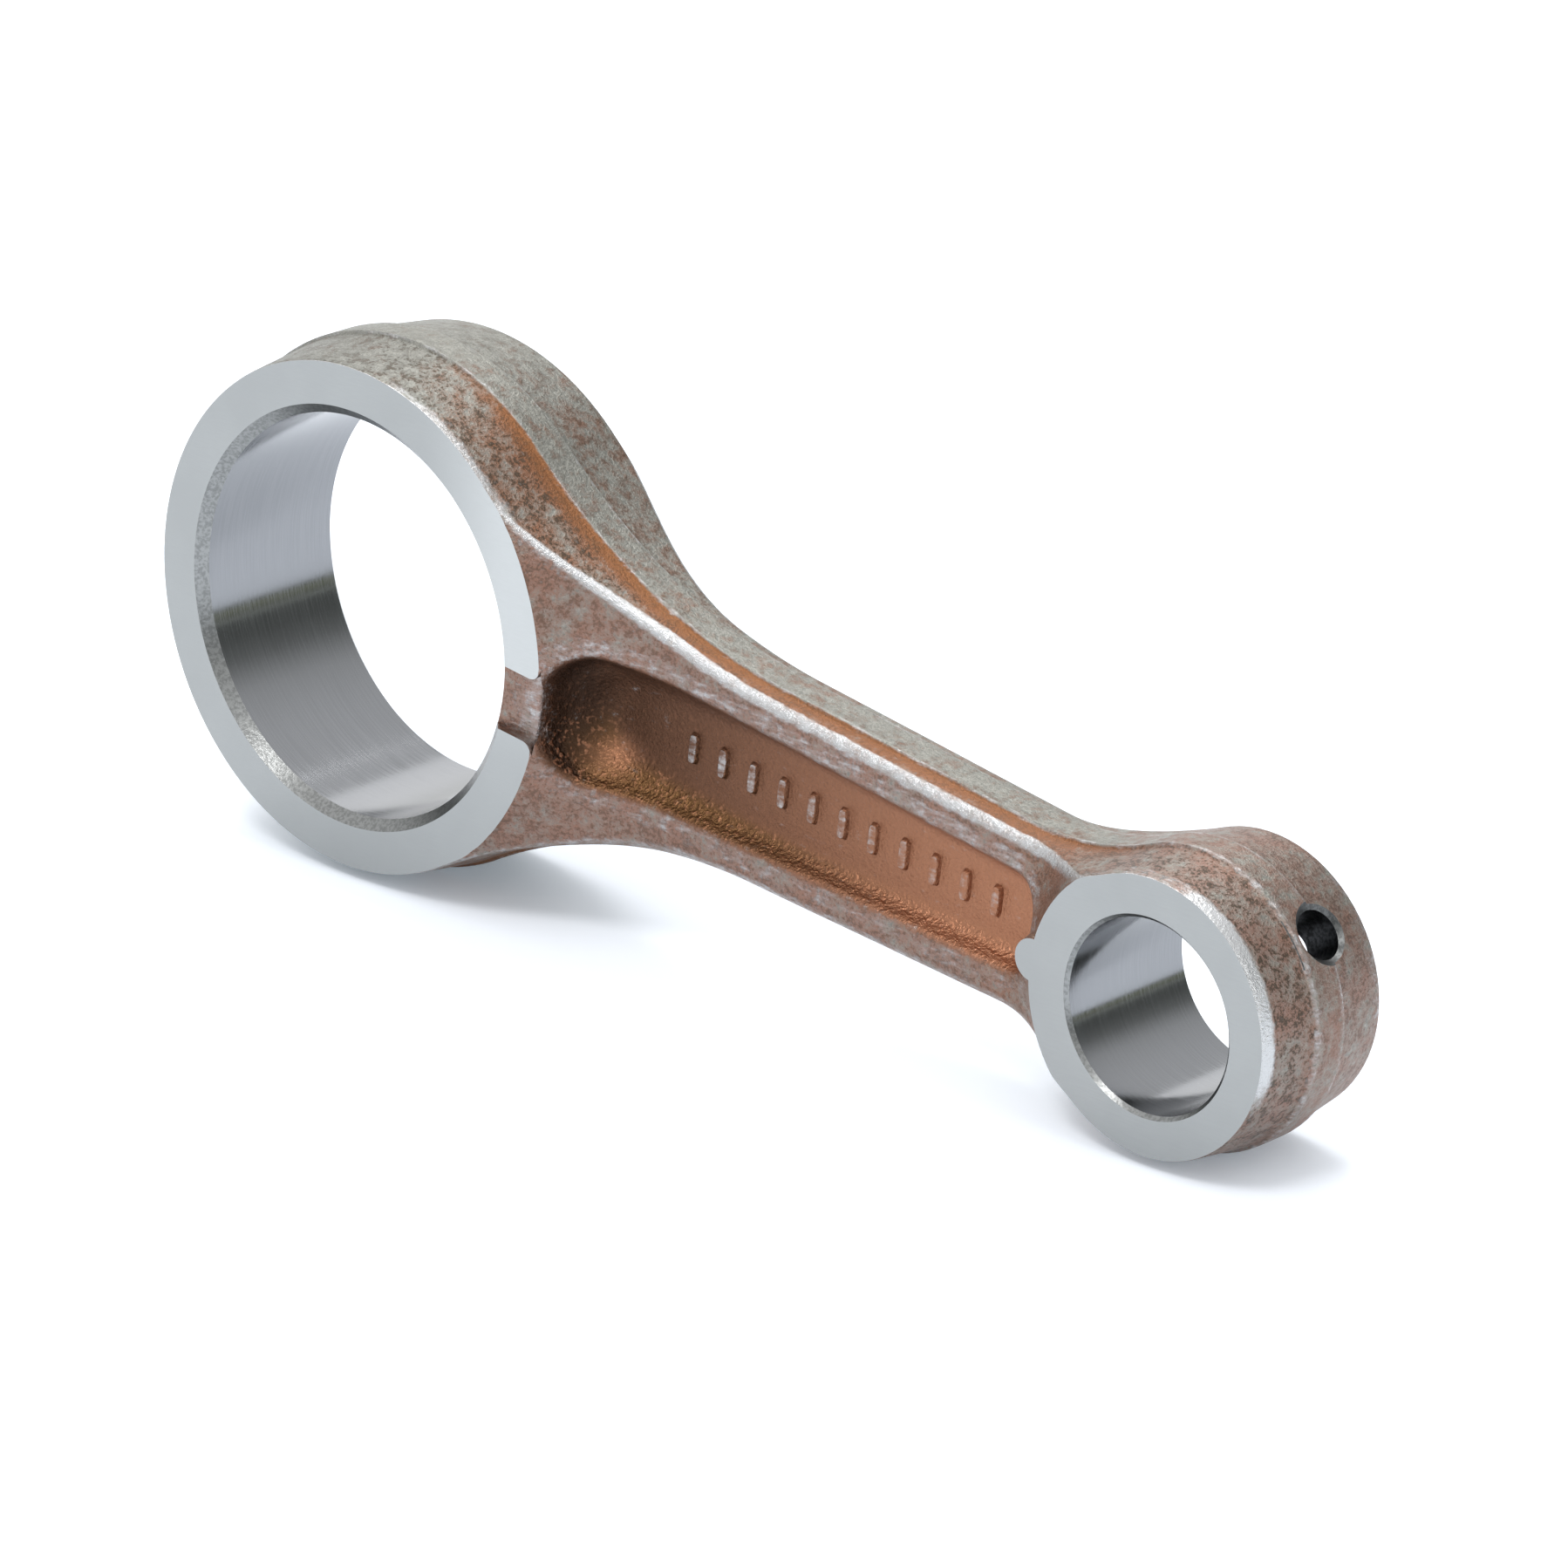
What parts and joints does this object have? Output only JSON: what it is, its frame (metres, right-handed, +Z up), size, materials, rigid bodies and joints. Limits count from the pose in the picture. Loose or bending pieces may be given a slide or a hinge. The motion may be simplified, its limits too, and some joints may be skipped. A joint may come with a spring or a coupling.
{
  "type": "connecting rod",
  "caption": "One-piece forged steel connecting rod: large and small end rings joined by a tapered I-beam, with an oil slot at the big end and an oil hole in the small end.",
  "frame": {"origin": "on the ground under the middle of the rod, which stands on the rims of its two ends", "axes": "+X along the rod from the big end to the small end, +Y along both bores from the face with the raised bars to the plain one, +Z up"},
  "size_m": [0.1296, 0.0172, 0.0491],
  "materials": {
    "forged_steel": "forged skin with worn copper plating; end faces ground, bores honed"
  },
  "bodies": {
    "root": {"connecting_rod": "forged_steel"}
  },
  "joints": []
}
